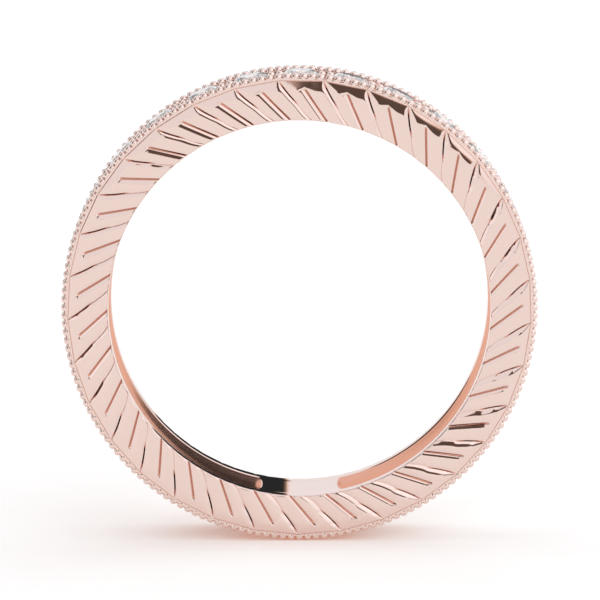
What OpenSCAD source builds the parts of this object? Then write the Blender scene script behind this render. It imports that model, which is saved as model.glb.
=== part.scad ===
// Engraved eternity band: one cast ring with round stones set between two rows of milgrain beads.
// It stands upright. The finger hole runs along Y, its centre is the origin and +Z is up.

/* [Ring size] */
// Finger hole diameter, US size 7
finger_d = 17.3; // [15.7:0.1:19.8]
// Width of the band along the finger
band_w = 3.2; // [3.1:0.05:3.6]

/* [Stones] */
// Number of stones round the band
stone_count = 29; // [24:1:29]
// Girdle diameter of one stone
stone_d = 1.8; // [1.6:0.05:1.8]
// Angle of the first stone, clockwise from the top
stone_phase = 0.3; // [-3:0.1:3]

/* [Milgrain] */
// Beads in each edge row, all the way round
bead_count = 175; // [120:1:176]
// Diameter of one bead
bead_d = 0.375; // [0.3:0.005:0.375]

/* [Side engraving] */
// Number of engraved petals on each side
petal_count = 33; // [24:1:36]
// Angle of the first petal, clockwise from the top
petal_phase = 5.9; // [0:0.1:11]
// Depth of the cuts in and between the petals
cut_depth = 0.13; // [0.06:0.01:0.2]

/* [Gallery] */
// Width of the hollow inside the band
gallery_w = 2.3; // [1.8:0.1:2.4]
// Depth of the hollow inside the band
gallery_depth = 0.08; // [0.05:0.01:0.5]
// Angle taken by the solid sizing bar at the bottom
bar_angle = 21; // [10:1:60]

/* [Hidden] */
function stone_name(i) = str("stone_", i < 10 ? "0" : "", i);

finger_r = finger_d / 2;
stone_pitch = 360 / stone_count;
petal_pitch = 360 / petal_count;
bead_pitch = 360 / bead_count;

// Radii of the outside of the band.
side_r = finger_r + 1.8;    // corners of the flat, many-sided side faces
rail_r = finger_r + 1.92;   // the two rails that carry the milgrain
floor_r = finger_r + 1.77;  // floor between the rails, where the stones sit
girdle_r = floor_r + 0.03;  // middle of the stones' girdles
bead_r = rail_r + 0.02;     // centres of the milgrain beads, half sunk in the rail
grip_r = floor_r + 0.13;    // centres of the beads that hold the stones

// Places across the band, from its middle plane.
side_y = band_w / 2;
rail_y = side_y - 0.07;     // outer face of a rail
channel_y = side_y - 0.42;  // inner face of a rail
bead_y = side_y - 0.23;     // middle of a row of milgrain

edge_bevel = [0.05, 0.1];   // bevel of the finger hole's edges, outwards and along the finger
bar_step = 0.01;            // the sizing bar lies this far below the two rims beside it
rim_lip = 0.05;             // and its step keeps this far inside the edges of the hollow
gallery_wall = 0.25;        // run of the hollow's sloping walls
seat_gap = 0.015;           // clearance round a stone
over = 0.02;                // cutters reach this far past the face that they cut
cut_steps = 5;              // straight stretches along one engraved cut
fine = 96;

// Proportions of a round brilliant, as parts of its diameter, and its facet angles.
table_ratio = 0.57;
girdle_ratio = 0.03;
crown_angle = 34.5;
upper_half_angle = 39.2;
star_angle = 21;
pavilion_angle = 40.75;
lower_half_angle = 41.9;
clear_angle = 60;           // too steep to touch the stone below its girdle

// Height of the table over the middle of the girdle, and depth of the culet under it.
table_h = stone_d * (girdle_ratio / 2 + (1 - table_ratio) / 2 * tan(crown_angle));
culet_h = stone_d * (girdle_ratio / 2 + tan(pavilion_angle) / 2);

// Turns its children clockwise from the top, as seen from the front.
module around(angle) rotate([0, angle, 0]) children();

// Lays a shape that is drawn round Z along the finger instead.
module along_finger() rotate([90, 0, 0]) children();

// ---- Stones ----

// Two opposite crown facets and the two pavilion facets under them, as one long prism.
// crown_reach is where the crown facets would meet the top of the girdle.
module facet_slice(azimuth, crown, crown_reach, pavilion) {
    half_girdle = stone_d * girdle_ratio / 2;
    table = crown_reach - (table_h - half_girdle) / tan(crown);
    culet = half_girdle + stone_d / 2 * tan(pavilion);
    side = (culet + half_girdle + crown_reach * tan(crown)) / (tan(crown) + tan(pavilion));
    side_h = side * tan(pavilion) - culet;
    rotate([90, 0, azimuth]) linear_extrude(height = 2 * stone_d, center = true)
        polygon([[-table, table_h], [-side, side_h], [0, -culet], [side, side_h], [table, table_h]]);
}

// A round brilliant with its girdle on the XY plane and its table up.
module brilliant() {
    star_reach = stone_d / 2 * table_ratio * cos(22.5)
        + (table_h - stone_d * girdle_ratio / 2) / tan(star_angle);
    intersection() {
        cylinder(d = stone_d, h = 2 * stone_d, center = true, $fn = fine);
        intersection_for (i = [0:3])
            facet_slice(i * 45, crown_angle, stone_d / 2, pavilion_angle);
        intersection_for (i = [0:7])
            facet_slice(11.25 + i * 22.5, upper_half_angle, stone_d / 2, lower_half_angle);
        intersection_for (i = [0:3])
            facet_slice(22.5 + i * 45, star_angle, star_reach, clear_angle);
    }
}

module stone(i) {
    color("lightcyan")
        around(stone_phase + (i - 1) * stone_pitch) translate([0, 0, girdle_r]) brilliant();
}

// The room for one stone: its outline turned about its own axis, with a little clearance.
module stone_seat() {
    half_girdle = stone_d * girdle_ratio / 2 + seat_gap;
    rotate_extrude($fn = fine) polygon([
        [0, -culet_h - 2 * seat_gap],
        [stone_d / 2 + seat_gap, -half_girdle],
        [stone_d / 2 + seat_gap, half_girdle],
        [stone_d / 2 * table_ratio + seat_gap, table_h + seat_gap],
        [0, table_h + seat_gap]
    ]);
}

// ---- Band ----

// The solid ring before any cutting: many-sided side faces, and round rails a step behind them.
module blank() {
    corners = [for (i = [0:petal_count - 1]) petal_phase + i * petal_pitch];
    along_finger() {
        linear_extrude(height = 2 * side_y, center = true)
            polygon([for (a = corners) side_r * [sin(a), cos(a)]]);
        cylinder(r = rail_r, h = 2 * rail_y, center = true, $fn = 2 * fine);
    }
}

// The channel between the rails, down to the floor that the stones sit in.
module channel() {
    along_finger() difference() {
        cylinder(r = rail_r + 1, h = 2 * channel_y, center = true, $fn = 2 * fine);
        cylinder(r = floor_r, h = 2 * channel_y + 1, center = true, $fn = 2 * fine);
    }
}

// Two rows of milgrain, and between each two stones a pair of beads that holds both.
module beads() {
    for (i = [0:bead_count - 1], side = [-1, 1])
        around((i + 0.5) * bead_pitch)
            translate([0, side * bead_y, bead_r]) sphere(d = bead_d, $fn = 24);
    for (i = [0:stone_count - 1], side = [-0.5, 0.5])
        around(stone_phase + (i + 0.5) * stone_pitch + side * bead_pitch)
            translate([0, 0, grip_r]) sphere(d = bead_d, $fn = 24);
}

// The finger hole, with a bevel at each end.
module finger_hole() {
    bevel_r = finger_r + edge_bevel[0];
    bevel_y = side_y - edge_bevel[1];
    slope = edge_bevel[0] / edge_bevel[1];
    along_finger() {
        cylinder(r = finger_r, h = 2 * side_y + 1, center = true, $fn = 2 * fine);
        rotate_extrude($fn = 2 * fine) for (side = [-1, 1])
            polygon([[finger_r - 1, side * bevel_y], [finger_r, side * bevel_y],
                [bevel_r + over * slope, side * (side_y + over)], [finger_r - 1, side * (side_y + over)]]);
    }
}

// The hollow inside: a shallow, flat trough with sloping walls. It stops at the sizing bar, which
// has a fine step of its own.
module gallery() {
    slope = gallery_wall / gallery_depth;
    along_finger() {
        rotate([0, 0, bar_angle / 2 - 90])
            rotate_extrude(angle = 360 - bar_angle, $fn = 2 * fine) polygon([
                for (side = [-1, 1]) [finger_r - over, side * (gallery_w / 2 + over * slope)],
                for (side = [1, -1]) [finger_r + gallery_depth, side * (gallery_w / 2 - gallery_wall)]]);
        cylinder(r = finger_r + bar_step, h = gallery_w - 2 * rim_lip, center = true, $fn = 2 * fine);
    }
}

// A V-shaped cut in the front face. It starts as a point at tip_r, sweeps clockwise on its way
// in and runs out through the finger hole. left and right are the widths of its two walls.
module swept_cut(tip_angle, tip_r, sweep, curl, left, right) {
    function spot(angle, r, h) = [r * sin(angle), -side_y - h, r * cos(angle)];
    function section(t) = let (
        r = tip_r - t * (tip_r - finger_r + over),
        valley = tip_angle + sweep * t + curl * t ^ 2,
        size = min(1, 0.05 + 4 * t) * (1 - 0.35 * t),
        to_deg = size / r * 180 / PI
    ) [spot(valley - left * to_deg, r, over), spot(valley, r, over - (cut_depth + over) * size),
        spot(valley + right * to_deg, r, over)];
    points = [for (i = [0:cut_steps]) each section(i / cut_steps)];
    last = 3 * cut_steps;
    walls = [for (i = [0:cut_steps - 1], k = [0:2]) let (a = 3 * i + k, b = 3 * i + (k + 1) % 3)
        each [[a, a + 3, b], [b, a + 3, b + 3]]];
    polyhedron(points, concat([[0, 1, 2]], walls, [[last + 2, last + 1, last]]));
}

// One long and one short cut for each petal, the same on both sides of the band.
module engraving() {
    for (side = [0, 1], i = [0:petal_count - 1])
        mirror([0, side, 0]) around(petal_phase + i * petal_pitch) {
            swept_cut(0, side_r, 4.7, 4.8, 0.16, 0.3);
            swept_cut(6.9, side_r - 0.4, 5.4, 1, 0.3, 0.22);
        }
}

module band() {
    color("#e6b8a6") difference() {
        union() {
            difference() {
                blank();
                channel();
            }
            beads();
        }
        finger_hole();
        gallery();
        for (i = [0:stone_count - 1])
            around(stone_phase + i * stone_pitch) translate([0, 0, girdle_r]) stone_seat();
        engraving();
    }
}

band();
for (i = [1:stone_count]) stone(i);
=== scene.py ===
"""Rose gold eternity band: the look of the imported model, with engraved sides and milgrain edges."""
import math

import bmesh
import bpy
import numpy as np
from mathutils import Matrix, Vector


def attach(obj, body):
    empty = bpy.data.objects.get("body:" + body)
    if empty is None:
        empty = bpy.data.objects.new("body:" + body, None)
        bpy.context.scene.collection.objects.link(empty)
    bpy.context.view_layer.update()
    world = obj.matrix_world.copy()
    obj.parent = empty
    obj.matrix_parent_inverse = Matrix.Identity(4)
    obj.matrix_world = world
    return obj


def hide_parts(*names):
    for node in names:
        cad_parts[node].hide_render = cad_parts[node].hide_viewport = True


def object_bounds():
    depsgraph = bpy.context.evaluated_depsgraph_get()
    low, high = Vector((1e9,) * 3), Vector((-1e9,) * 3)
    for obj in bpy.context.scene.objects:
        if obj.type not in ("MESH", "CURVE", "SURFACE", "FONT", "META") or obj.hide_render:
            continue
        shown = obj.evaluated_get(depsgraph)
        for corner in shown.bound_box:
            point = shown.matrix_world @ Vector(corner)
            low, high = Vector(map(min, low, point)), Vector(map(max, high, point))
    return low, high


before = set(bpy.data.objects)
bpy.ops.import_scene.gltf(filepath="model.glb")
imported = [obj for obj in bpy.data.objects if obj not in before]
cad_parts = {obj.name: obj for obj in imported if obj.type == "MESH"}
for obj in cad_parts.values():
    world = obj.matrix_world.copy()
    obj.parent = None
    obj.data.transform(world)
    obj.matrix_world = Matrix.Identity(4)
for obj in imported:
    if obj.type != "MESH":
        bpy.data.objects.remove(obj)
cad_low, cad_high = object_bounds()

MM = 0.001

# ---- Sizes of the band, in millimetres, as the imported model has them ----
FINGER_R = 8.65
SIDE_Y = 1.6              # flat side faces, from the middle plane
SIDE_R = 10.45            # corners of the side faces
RAIL_R = 10.575           # rails that carry the milgrain
RAIL_Y = 1.53             # outer face of a rail
RAIL_BEND = 0.035         # rounding of its outer edge
CHANNEL_Y = 1.18          # inner face of a rail
FLOOR_R = 10.42           # floor of the channel that the stones sit in
GIRDLE_R = 10.45          # middle of the stones' girdles
PETALS = 33
PETAL_PITCH = 360 / PETALS
PETAL_PHASE = 5.9
STONES = 29
STONE_PITCH = 360 / STONES
STONE_PHASE = 0.3
STONE_D = 1.8
SEAT_GAP = 0.015          # clearance round a stone
SEAT_TURNS = 64           # sides of a seat
BEADS = 175
BEAD_PITCH = 360 / BEADS
BEAD_D = 0.394
BEAD_Y = 1.355
BEAD_R = 10.58
GRIP_R = 10.54            # centres of the beads that hold the stones
GALLERY_HALF = 1.15       # half the width of the hollow inside the band
GALLERY_DEPTH = 0.08
GALLERY_RUN = 3.5         # degrees that the hollow takes to rise to the sizing bar
BAR_ANGLE = 21
BAR_STEP = 0.01
RIM = 0.13                # the finger hole's two edges take this much of its width

# Proportions of a round brilliant, as parts of its diameter, and its main facet angles.
HALF_GIRDLE = 0.015
HALF_TABLE = 0.285
CROWN_RUN = 0.215
CROWN_ANGLE = math.radians(34.5)
PAVILION_ANGLE = math.radians(40.75)


def smooth(x):
    """Ease from 0 to 1 as x goes from 0 to 1."""
    x = np.clip(x, 0, 1)
    return x * x * (3 - 2 * x)


# ---- The engraved side face, as a height over the flat plane ----
# How far round the band a cut goes on its way in, in degrees: its sweep is the part that grows
# evenly and its curl is the part that grows faster.
LONG_SWEEP = 4.7
LONG_CURL = 4.8
LONG_EASE = 0.75          # the long cut's inner half lies back by this
SHORT_TIP = 0.4           # the short cut starts this far inside the edge
SHORT_START = 6.55        # and this many degrees past the long cut's tip
SHORT_SWEEP = 5.2
SHORT_CURL = 1.6

# A cut is its left and right shoulders, each (width, depth, power), and a notch between them,
# (half width, depth). The long cut grows milder on its way in.
LONG_CUT = ((0.27, 0.062, 2), (0.45, 0.1, 2), (0.045, 0.1))
MILD_CUT = ((0.27, 0.06, 2), (0.42, 0.08, 2), (0.045, 0.012))
SHORT_CUT = ((0.41, 0.064, 2), (0.42, 0.062, 3), (0.065, 0.1))
CUT_ROUND = 0.06          # rounding of the long cut's valley
MILD_ROUND = 0.03

ROUND_FROM = 9.91         # outside this radius the petals round over towards the edge
ROUND_SLOPE = 0.2
ROUND_RUN = 0.25          # over which the slope builds up


def long_valley(r):
    """Angle of the long cut's valley past its tip, and how far along the cut it is."""
    t = (SIDE_R - r) / (SIDE_R - FINGER_R)
    return LONG_SWEEP * t + LONG_CURL * t * t - LONG_EASE * smooth((t - 0.5) / 0.4), t


def short_valley(r):
    """The same for the short cut, as an angle past the long cut's tip."""
    t = (SIDE_R - SHORT_TIP - r) / (SIDE_R - SHORT_TIP - FINGER_R)
    return SHORT_START + SHORT_SWEEP * t + SHORT_CURL * t * np.abs(t), t


def groove(d, left, right, notch, size, round_off):
    """Depth of a groove: two curved shoulders, and a steep notch between them.

    d is the distance past the valley. left and right are a shoulder's (width, depth, power), and
    notch is the notch's half width and depth. size scales all of it, and round_off softens the
    valley.
    """
    x = np.sqrt(d * d + round_off * round_off)
    depth = np.zeros_like(d)
    for (width, shoulder, power), side in ((left, d < 0), (right, d >= 0)):
        w = np.maximum(width * np.sqrt(size), 1e-4)
        wall = np.clip(1 - x / w, 0, None)
        depth = np.where(side, shoulder * size * wall ** power, depth)
    half, deep = notch
    depth = depth + deep * size * np.clip(1 - np.abs(d) / half, 0, None)
    return depth


def face_height(r, past_long, past_short, to_long):
    """Height of the face where its distances from the valleys round it are known."""
    _, t = long_valley(r)
    size = np.clip(0.12 + 4.5 * t, 0, 1)
    soft = smooth((t - 0.45) / 0.2)
    depth = np.zeros_like(r)
    for d in (past_long, -to_long):
        cut = groove(d, *LONG_CUT, size, CUT_ROUND * soft)
        mild = groove(d, *MILD_CUT, size, MILD_ROUND + MILD_ROUND * soft)
        depth = depth + cut * (1 - soft) + mild * soft
    _, t = short_valley(r)
    size = smooth((t + 0.08) / 0.13)
    depth = depth + groove(past_short, *SHORT_CUT, size, 0)
    past = np.clip(r - ROUND_FROM, 0, None)
    depth = depth + ROUND_SLOPE * (past - ROUND_RUN * (1 - np.exp(-past / ROUND_RUN)))
    return -depth


# Places of the mesh's columns between two valleys, in millimetres from the nearer one.
NEAR_VALLEY = (0, 0.022, 0.045, 0.068, 0.1, 0.15, 0.21, 0.28, 0.36)
# Rows of the mesh across a side face, the channel's floor and the finger hole.
SIDE_ROWS = 54
FLOOR_ROWS = 17
BORE_ROWS = 57


def between(low, high, to_mm):
    """Angles from one valley up to the next, crowded near both."""
    near = np.array(NEAR_VALLEY) / to_mm
    half = (high - low) / 2
    near = near * min(1, half * 0.92 / near[-1])
    return np.concatenate([low + near, [low + half], high - near[:0:-1]])


def column_angles(r):
    """For one radius, the angle of every column round the band, and its distances to valleys."""
    a_long, _ = long_valley(r)
    a_short, _ = short_valley(r)
    to_mm = r * math.pi / 180
    one = np.concatenate([between(a_long, a_short, to_mm),
                          between(a_short, a_long + PETAL_PITCH, to_mm)])
    base = np.tile(one, PETALS)
    shift = np.repeat(np.arange(PETALS) * PETAL_PITCH + PETAL_PHASE, len(one))
    return base + shift, (base - a_long) * to_mm, (base - a_short) * to_mm, \
        (a_long + PETAL_PITCH - base) * to_mm


def ring_mesh():
    """The metal ring before the beads and seats, as one closed grid."""
    rows = []    # each: (angles, radii, ys)
    a0, *_ = column_angles(SIDE_R)
    n = len(a0)
    # the side face's outer edge is straight between the tips of the long cuts
    half = math.radians(PETAL_PITCH / 2)
    edge = SIDE_R * math.cos(half) / np.cos(np.radians(a0 - PETAL_PHASE) % (2 * half) - half)

    def row(angles, r, y):
        rows.append((angles, np.broadcast_to(r, (n,)), np.broadcast_to(y, (n,))))

    # outer surface, from the back rail to the front one
    for y in np.linspace(CHANNEL_Y, -CHANNEL_Y, FLOOR_ROWS):
        row(a0, FLOOR_R, y)
    rail = [(CHANNEL_Y, RAIL_R - 0.02), (CHANNEL_Y + 0.02, RAIL_R)]
    rail += [(y, RAIL_R) for y in np.linspace(CHANNEL_Y + 0.06, RAIL_Y - 0.09, 4)]
    for k in range(5):
        a = math.radians(90 * k / 4)
        rail.append((RAIL_Y - RAIL_BEND + RAIL_BEND * math.sin(a),
                     RAIL_R - RAIL_BEND + RAIL_BEND * math.cos(a)))
    # a fine groove parts the rail from the side face
    rail += [(RAIL_Y, edge + 0.045), (RAIL_Y - 0.03, edge + 0.02)]
    for y, r in rail:
        row(a0, r, -y)

    # front side, with its rows closer together near the edge
    side = []
    for i in range(SIDE_ROWS + 1):
        t = (i / SIDE_ROWS) ** 1.15
        r0 = SIDE_R - t * (SIDE_R - FINGER_R - 0.05)
        ang, past_long, past_short, to_long = column_angles(r0)
        r = r0 + (edge - SIDE_R) * (1 - t) ** 3
        height = face_height(np.full(n, r0), past_long, past_short, to_long)
        row(ang, r, -SIDE_Y - height)
        side.append((ang, r, SIDE_Y + height))
    a1, past_long, past_short, to_long = column_angles(FINGER_R)
    cut = -face_height(np.full(n, FINGER_R + 0.03), past_long, past_short, to_long)
    lip = [(FINGER_R + 0.028, SIDE_Y - 0.012 - cut), (FINGER_R + 0.01, SIDE_Y - 0.035 - cut * 0.9),
           (FINGER_R, SIDE_Y - 0.07 - cut * 0.7)]
    for r, y in lip:
        row(a1, r, -y)

    # finger hole, with the gallery and the sizing bar
    from_bar = np.abs(a1 % 360 - 180) - BAR_ANGLE / 2
    along = smooth(from_bar / GALLERY_RUN)
    bore_half = SIDE_Y - RIM
    for u in np.linspace(-1, 1, BORE_ROWS):
        y = u * bore_half
        trough = GALLERY_DEPTH * (0.6 * smooth(1 - abs(y) / GALLERY_HALF)
                                  + 0.4 * smooth((GALLERY_HALF - abs(y)) / 0.15))
        step = BAR_STEP * smooth((GALLERY_HALF - 0.05 - abs(y)) / 0.03)
        end = abs(u) > 0.99
        row(a1, FINGER_R + np.maximum(trough * along, step), np.where(end, y * (1 - cut * 0.3), y))
    for r, y in reversed(lip):
        row(a1, r, y)

    # back side
    for ang, r, y in reversed(side):
        row(ang, r, y)
    for y, r in reversed(rail):
        row(a0, r, y)

    m = len(rows)
    ang = np.radians(np.array([q[0] for q in rows]))
    rad = np.array([q[1] for q in rows])
    ys = np.array([q[2] for q in rows])
    co = np.stack([rad * np.sin(ang), ys, rad * np.cos(ang)], -1).reshape(-1, 3) * MM
    i, j = np.meshgrid(np.arange(m), np.arange(n), indexing="ij")
    i2, j2 = (i + 1) % m, (j + 1) % n
    quads = np.stack([i * n + j, i * n + j2, i2 * n + j2, i2 * n + j], -1).reshape(-1, 4)
    return co, quads


def new_object(name, bm):
    """A new object from a bmesh, which it frees."""
    mesh = bpy.data.meshes.new(name)
    bm.to_mesh(mesh)
    bm.free()
    obj = bpy.data.objects.new(name, mesh)
    bpy.context.scene.collection.objects.link(obj)
    return obj


def grid_object(name, co, faces):
    """A new object from arrays of points and faces, with its faces turned outwards."""
    mesh = bpy.data.meshes.new(name)
    mesh.from_pydata(co.tolist(), [], faces.tolist())
    mesh.update()
    bm = bmesh.new()
    bm.from_mesh(mesh)
    bpy.data.meshes.remove(mesh)
    bmesh.ops.recalc_face_normals(bm, faces=bm.faces)
    return new_object(name, bm)


def around(angle):
    """Turns a thing at the top clockwise round the band, seen from the front."""
    return Matrix.Rotation(math.radians(angle), 4, "Y")


def bead_object():
    """Both rows of milgrain, and a pair of beads between each two stones."""
    bm = bmesh.new()
    places = []
    for i in range(BEADS):
        for side in (-1, 1):
            places.append(((i + 0.5) * BEAD_PITCH, side * BEAD_Y, BEAD_R))
    for i in range(STONES):
        for side in (-0.5, 0.5):
            places.append((STONE_PHASE + (i + 0.5) * STONE_PITCH + side * BEAD_PITCH, 0, GRIP_R))
    for angle, y, r in places:
        bmesh.ops.create_icosphere(bm, subdivisions=3, radius=BEAD_D / 2 * MM,
                                   matrix=around(angle) @ Matrix.Translation((0, y * MM, r * MM)))
    return new_object("beads", bm)


def seat_object():
    """The room that the stones take in the metal."""
    bm = bmesh.new()
    half = STONE_D * HALF_GIRDLE + SEAT_GAP
    wide = STONE_D / 2 + SEAT_GAP
    table_h = STONE_D * (HALF_GIRDLE + CROWN_RUN * math.tan(CROWN_ANGLE)) + SEAT_GAP
    culet = STONE_D * (HALF_GIRDLE + math.tan(PAVILION_ANGLE) / 2) + 2 * SEAT_GAP
    outline = [(0, -culet), (wide, -half), (wide, half),
               (STONE_D * HALF_TABLE + SEAT_GAP, table_h), (0, table_h)]
    turns = SEAT_TURNS
    circle = [(math.cos(2 * math.pi * i / turns), math.sin(2 * math.pi * i / turns))
              for i in range(turns)]
    for k in range(STONES):
        place = around(STONE_PHASE + k * STONE_PITCH) @ Matrix.Translation((0, 0, GIRDLE_R * MM))
        low = bm.verts.new(place @ Vector((0, 0, outline[0][1] * MM)))
        top = bm.verts.new(place @ Vector((0, 0, outline[-1][1] * MM)))
        rings = [[bm.verts.new(place @ Vector((r * cos * MM, r * sin * MM, z * MM)))
                  for cos, sin in circle] for r, z in outline[1:-1]]
        for i in range(turns):
            j = (i + 1) % turns
            bm.faces.new((low, rings[0][j], rings[0][i]))
            for a, b in zip(rings, rings[1:]):
                bm.faces.new((a[i], a[j], b[j], b[i]))
            bm.faces.new((rings[-1][i], rings[-1][j], top))
    bmesh.ops.recalc_face_normals(bm, faces=bm.faces)
    return new_object("seats", bm)


def boolean(obj, other, operation):
    """Joins other to obj or cuts it out of obj, for good, and removes other."""
    mod = obj.modifiers.new("cut", "BOOLEAN")
    mod.solver = "MANIFOLD"
    mod.operation = operation
    mod.object = other
    dg = bpy.context.evaluated_depsgraph_get()
    mesh = bpy.data.meshes.new_from_object(obj.evaluated_get(dg))
    obj.modifiers.clear()
    obj.data = mesh
    bpy.data.objects.remove(other)


SHARP_ANGLE = 32          # edges of the metal that turn by more than this stay sharp


def shade_by_angle(obj, degrees):
    """Smooth shading, except along edges sharper than this."""
    for polygon in obj.data.polygons:
        polygon.use_smooth = True
    obj.data.set_sharp_from_angle(angle=math.radians(degrees))


# ---- Materials ----
POLISHED = (0.808, 0.627, 0.566, 1)
POLISHED_EDGE = (1, 1, 1, 1)        # its reflection at a shallow angle
# painted shade of the hollow: darker, more orange metal in place of the light that bounces inside it
HOLLOW_SHADE_COLOUR = (0.78, 0.49, 0.41, 1)
HOLLOW_SHADE_EDGE = (0.9, 0.58, 0.45, 1)
HOLLOW_ROUGHNESS = 0.17            # on top of the polished metal's
DIAMOND_IOR = 2.417


class NodeTree:
    """Short ways to add nodes to one node tree."""

    def __init__(self, tree):
        self.nodes, self.links = tree.nodes, tree.links

    def feed(self, socket, value):
        if isinstance(value, (int, float)):
            socket.default_value = value
        else:
            self.links.new(value, socket)

    def math(self, operation, *values):
        node = self.nodes.new("ShaderNodeMath")
        node.operation = operation
        for socket, value in zip(node.inputs, values):
            self.feed(socket, value)
        return node.outputs[0]

    def ramp(self, value, low, high, to_low=0.0, to_high=1.0, ease="LINEAR"):
        """value, mapped from low and high to to_low and to_high, and held beyond them."""
        node = self.nodes.new("ShaderNodeMapRange")
        node.interpolation_type = ease
        for name, v in (("Value", value), ("From Min", low), ("From Max", high),
                        ("To Min", to_low), ("To Max", to_high)):
            self.feed(node.inputs[name], v)
        return node.outputs[0]

    def mix(self, factor, first, second):
        node = self.nodes.new("ShaderNodeMixRGB")
        node.inputs["Color1"].default_value = first
        node.inputs["Color2"].default_value = second
        self.links.new(factor, node.inputs["Fac"])
        return node.outputs[0]

    def axes(self, vector):
        node = self.nodes.new("ShaderNodeSeparateXYZ")
        self.links.new(vector, node.inputs[0])
        return node.outputs


def new_material(name):
    mat = bpy.data.materials.new(name)
    mat.use_nodes = True
    nodes = mat.node_tree.nodes
    shader = nodes["Principled BSDF"]
    return mat, nodes, mat.node_tree.links, shader


def rose_gold():
    """Polished rose gold. The hollow inside the band is rougher, and painted darker and more orange:
    painted shade in place of the light that bounces inside it.
    """
    mat, nodes, links, shader = new_material("rose_gold")
    tree = NodeTree(mat.node_tree)
    math_node, ramp = tree.math, tree.ramp

    place = nodes.new("ShaderNodeTexCoord").outputs["Object"]
    x, y, z = tree.axes(place)
    from_axis = math_node("SQRT", math_node("ADD", math_node("MULTIPLY", x, x),
                                            math_node("MULTIPLY", z, z)))
    # 1 on the floor of the hollow, where the painted shade goes, and 0 on its rims and everywhere
    # else
    shaded_hollow = math_node("MULTIPLY", ramp(from_axis, 8.663 * MM, 8.675 * MM),
                       ramp(from_axis, 8.8 * MM, 8.76 * MM))
    shaded_hollow = math_node("MULTIPLY", shaded_hollow, ramp(math_node("ABSOLUTE", y), 1.12 * MM, 1.0 * MM))
    grain = nodes.new("ShaderNodeTexNoise")
    links.new(place, grain.inputs["Vector"])
    grain.inputs["Scale"].default_value = 2500
    grain.inputs["Detail"].default_value = 3
    polish = ramp(grain.outputs[0], 0.3, 0.7, 0.035, 0.06)
    links.new(math_node("ADD", polish, math_node("MULTIPLY", shaded_hollow, HOLLOW_ROUGHNESS)),
              shader.inputs["Roughness"])
    # painted shade: the hollow's floor takes the darker colour and edge tint
    links.new(tree.mix(shaded_hollow, POLISHED, HOLLOW_SHADE_COLOUR), shader.inputs["Base Color"])
    links.new(tree.mix(shaded_hollow, POLISHED_EDGE, HOLLOW_SHADE_EDGE), shader.inputs["Specular Tint"])
    shader.inputs["Metallic"].default_value = 1
    return mat


def diamond():
    """Clear stone with a faint cloud of tint, and a little painted glow in place of the light caught
    inside.
    """
    mat, nodes, links, shader = new_material("diamond")
    clouds = nodes.new("ShaderNodeTexNoise")
    clouds.inputs["Scale"].default_value = 900
    links.new(nodes.new("ShaderNodeTexCoord").outputs["Object"], clouds.inputs["Vector"])
    tint = nodes.new("ShaderNodeValToRGB")
    tint.color_ramp.elements[0].color = (0.98, 0.99, 1, 1)
    tint.color_ramp.elements[1].color = (1, 1, 1, 1)
    links.new(clouds.outputs[0], tint.inputs[0])
    links.new(tint.outputs[0], shader.inputs["Base Color"])
    shader.inputs["Roughness"].default_value = 0.0
    shader.inputs["IOR"].default_value = DIAMOND_IOR
    shader.inputs["Transmission Weight"].default_value = 1
    # painted glow: the stone gives off a faint white light of its own
    shader.inputs["Emission Color"].default_value = (1, 1, 1, 1)
    shader.inputs["Emission Strength"].default_value = 0.06
    return mat


gold = rose_gold()
gem = diamond()

band = grid_object("band_engraved", *ring_mesh())
boolean(band, bead_object(), "UNION")
boolean(band, seat_object(), "DIFFERENCE")
shade_by_angle(band, SHARP_ANGLE)
band.data.materials.clear()
band.data.materials.append(gold)
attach(band, "root")
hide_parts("band")

for name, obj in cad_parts.items():
    if name.startswith("stone"):
        obj.data.materials.clear()
        obj.data.materials.append(gem)

# ---- Floor, light and camera ----
FLOOR_GAP = 0.01 * MM
FLOOR_HALF = 1.5
# cool, so that with the painted warm glow the open floor comes out white
FLOOR_COLOUR = (0.72, 0.94, 0.97, 1)
FLOOR_PAINTED_GLOW = (1, 0.375, 0.22, 1)    # painted warm glow in place of the gold's light thrown on the floor: keeps the shadows warm, and makes up white with the colour


def new_floor():
    bm = bmesh.new()
    bmesh.ops.create_grid(bm, x_segments=1, y_segments=1, size=FLOOR_HALF,
                          matrix=Matrix.Translation((0, 0, cad_low.z - FLOOR_GAP)))
    mat, _, _, shader = new_material("floor")
    shader.inputs["Base Color"].default_value = FLOOR_COLOUR
    shader.inputs["Roughness"].default_value = 0.8
    shader.inputs["Specular IOR Level"].default_value = 0.0
    # painted light: the floor glows warm of its own, so that its shadows stay warm
    shader.inputs["Emission Color"].default_value = FLOOR_PAINTED_GLOW
    shader.inputs["Emission Strength"].default_value = 0.35
    obj = new_object("floor", bm)
    obj.data.materials.append(mat)
    return obj


floor = new_floor()

# Colours of the sky from its light part to its dark part.
SKY_TONES = ((0.0, (1.0, 1.02, 1.055)), (0.25, (1.0, 0.97, 0.95)), (0.5, (0.9, 0.72, 0.63)),
             (0.75, (0.34, 0.21, 0.15)), (1.0, (0.024, 0.028, 0.03)))
BOX_LIGHT = 0.17          # extra light of the two soft boxes
RIGHT_LIGHT = 0.55        # extra light from high on the right


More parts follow.
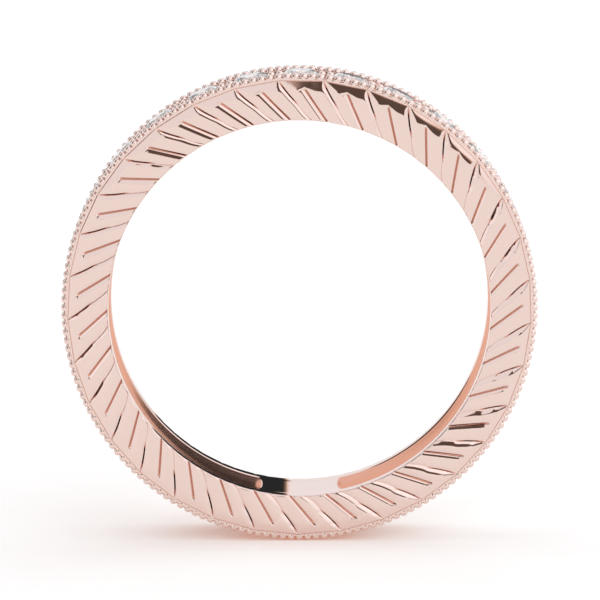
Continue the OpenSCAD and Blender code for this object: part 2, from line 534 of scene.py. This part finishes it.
def studio_light():
    """White studio light, with the dark gaps that polished metal needs for its contrast."""
    world = bpy.data.worlds.new("studio")
    bpy.context.scene.world = world
    world.use_nodes = True
    nodes, links = world.node_tree.nodes, world.node_tree.links
    tree = NodeTree(world.node_tree)
    math_node = tree.math
    x, y, z = tree.axes(nodes.new("ShaderNodeTexCoord").outputs["Generated"])

    def ramp(value, low, high):
        return tree.ramp(value, low, high, ease="SMOOTHSTEP")

    def gap(ahead, across, left, right, low, top, edge, soft=None, slant=0.0, lean=0.0):
        """1 inside a patch of the sky ahead. Its edges are slopes against the distance ahead.

        soft is the edge of its right side and its top, slant turns its top and lean its sides.
        """
        soft = soft or edge
        u = math_node("DIVIDE", across, math_node("MAXIMUM", ahead, 0.001))
        v = math_node("DIVIDE", z, math_node("MAXIMUM", ahead, 0.001))
        roof = math_node("ADD", v, math_node("MULTIPLY", u, slant))
        u = math_node("ADD", u, math_node("MULTIPLY", v, -lean))
        inside = ramp(ahead, 0.0, 0.05)
        for value, outer, inner in ((u, left - edge, left + edge), (u, right + soft, right - soft),
                                    (v, low - edge, low + edge), (roof, top + soft, top - soft)):
            inside = math_node("MULTIPLY", inside, ramp(value, outer, inner))
        return inside

    # the dark gaps: low in front, low behind, high on the front left and on the rear left
    to_front = math_node("MULTIPLY", y, -1.0)
    front = gap(to_front, x, -0.003, 0.31, 0.0, 0.55, 0.01, soft=0.05, slant=1.65)
    back = gap(y, x, 0.03, 0.5, 0.0, 0.55, 0.012)
    side = gap(to_front, x, -2.8, -0.85, 0.1, 6.0, 0.06, lean=0.238)
    rear_left = gap(y, x, -1.5, -0.42, 0.08, 1.1, 0.06)
    dark = math_node("MAXIMUM", math_node("MULTIPLY", front, 0.94),
                     math_node("MAXIMUM", math_node("MAXIMUM", side, rear_left), back))
    tones = nodes.new("ShaderNodeValToRGB")
    while len(tones.color_ramp.elements) < len(SKY_TONES):
        tones.color_ramp.elements.new(0.5)
    for element, (at, colour) in zip(tones.color_ramp.elements, SKY_TONES):
        element.position = at
        element.color = (*colour, 1)
    links.new(dark, tones.inputs[0])
    links.new(tones.outputs[0], nodes["Background"].inputs["Color"])

    # two soft boxes in front, on either side, and more light high on the right
    boxes = math_node("ADD", gap(to_front, x, 0.02, 1.0, 0.03, 0.9, 0.03),
                      gap(to_front, x, -0.75, -0.42, 0.0, 0.3, 0.03))
    from_right = math_node("MULTIPLY", math_node("MAXIMUM", x, 0.0), ramp(z, 0.1, 0.4))
    strength = math_node("ADD", 1.0, math_node("MULTIPLY", boxes, BOX_LIGHT))
    links.new(math_node("ADD", strength, math_node("MULTIPLY", from_right, RIGHT_LIGHT)),
              nodes["Background"].inputs["Strength"])


studio_light()

ELEVATION = math.radians(11.612)    # of the camera
DISTANCE = 142.48 * MM
cam = bpy.data.objects.new("camera", bpy.data.cameras.new("camera"))
bpy.context.scene.collection.objects.link(cam)
cam.location = Vector((0, -math.cos(ELEVATION), math.sin(ELEVATION))) * DISTANCE
cam.rotation_euler = (math.pi / 2 - ELEVATION, 0, 0)
cam.data.sensor_width = 36
cam.data.lens = 187.4
cam.data.shift_x = 0.0009
cam.data.shift_y = 0.006
cam.data.clip_start = 0.005
cam.data.clip_end = 10
bpy.context.scene.camera = cam
bpy.context.scene.view_settings.view_transform = "Standard"
